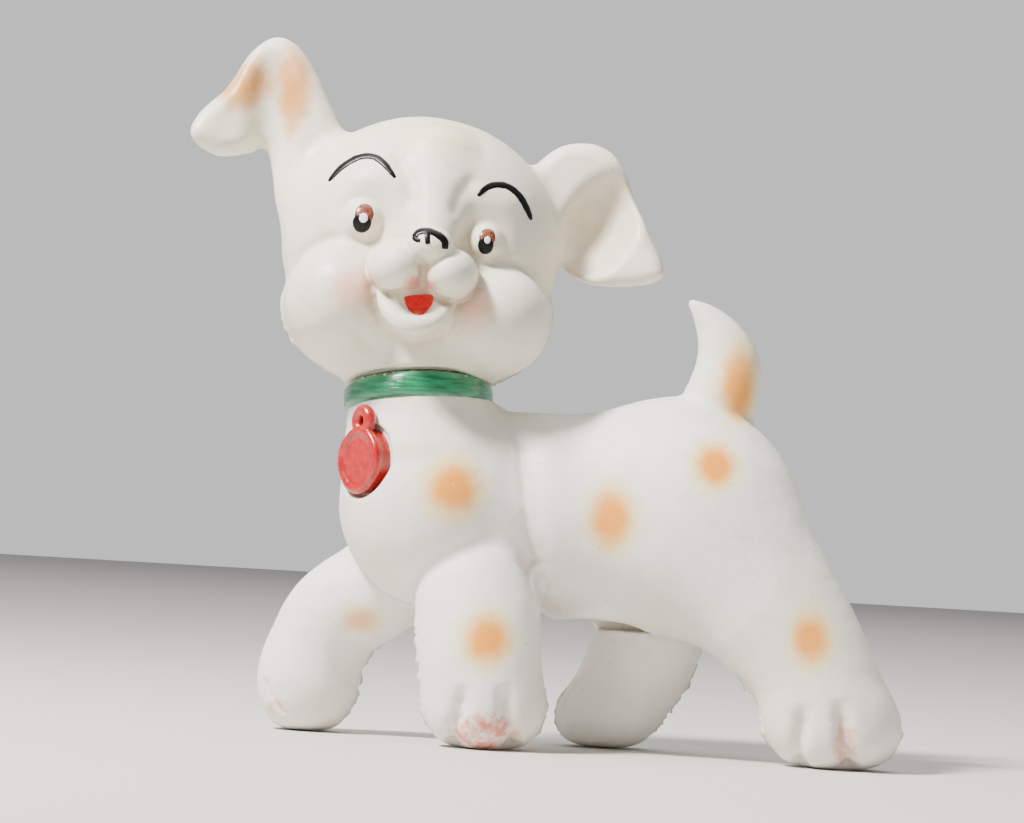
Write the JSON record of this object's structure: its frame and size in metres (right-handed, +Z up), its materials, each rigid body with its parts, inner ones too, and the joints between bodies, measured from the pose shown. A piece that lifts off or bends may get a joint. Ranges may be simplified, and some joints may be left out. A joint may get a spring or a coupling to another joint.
{
  "type": "squeaky puppy toy",
  "caption": "Moulded rubber toy puppy standing on its paws, with a turning head, bending ears and tail, a collar with a name tag, and a squeaker in its belly.",
  "frame": {"origin": "on the ground, below the middle of the puppy's bounding box", "axes": "+Z up; the puppy walks towards -X; its head is turned to look towards -Y, and its near (left) side faces -Y"},
  "size_m": [0.1713, 0.0649, 0.1618],
  "materials": {
    "painted_rubber": "aged warm white rubber with sprayed orange spots and painted features, soft sheen",
    "collar_paint": "brushed glossy green paint on rubber, chipped at the edges",
    "tag_paint": "brushed glossy red paint on rubber",
    "plain_rubber": "unpainted matt rubber",
    "tinplate": "dull stamped tinplate",
    "reed_brass": "thin rolled strip"
  },
  "bodies": {
    "body": {"body_left_half": "painted_rubber", "body_right_half": "painted_rubber", "neck_ring": "painted_rubber", "collar_band": "collar_paint", "name_tag_disc": "tag_paint", "name_tag_ring": "tag_paint", "squeaker_grommet": "plain_rubber", "squeaker_can": "tinplate", "squeaker_lid": "tinplate", "reed_channel": "tinplate", "reed_clip": "tinplate"},
    "head": {"head_face_half": "painted_rubber", "head_back_half": "painted_rubber", "head_socket_ring": "painted_rubber"},
    "left_ear": {"left_ear_drooping": "painted_rubber"},
    "right_ear": {"right_ear_raised": "painted_rubber"},
    "tail": {"tail": "painted_rubber"},
    "reed": {"squeaker_reed": "reed_brass"}
  },
  "joints": [
    {"name": "head_turn", "type": "hinge", "parent": "body", "child": "head", "pos_m": [-0.0273, 0, 0.0794], "axis": [-0.0687, 0.1736, 0.9824], "continuous": true},
    {"name": "left_ear_bend", "type": "hinge", "parent": "head", "child": "left_ear", "pos_m": [-0.00303, 0.00825, 0.12799], "axis": [-0.4216, 0.1621, 0.8922], "range_deg": [-15, 15], "stiffness_Nm_per_rad": 0.12},
    {"name": "right_ear_bend", "type": "hinge", "parent": "head", "child": "right_ear", "pos_m": [-0.05633, 0.00882, 0.12752], "axis": [0.4704, 0.1473, 0.8701], "range_deg": [-10, 10], "stiffness_Nm_per_rad": 0.15},
    {"name": "tail_wag", "type": "hinge", "parent": "body", "child": "tail", "pos_m": [0.0407, 0, 0.0774], "axis": [1, 0, 0], "range_deg": [-20, 20], "stiffness_Nm_per_rad": 0.12},
    {"name": "reed_flex", "type": "hinge", "parent": "body", "child": "reed", "pos_m": [0.0168, 0, 0.0344], "axis": [0, 1, 0], "range_deg": [-4, 1], "stiffness_Nm_per_rad": 0.0001}
  ]
}
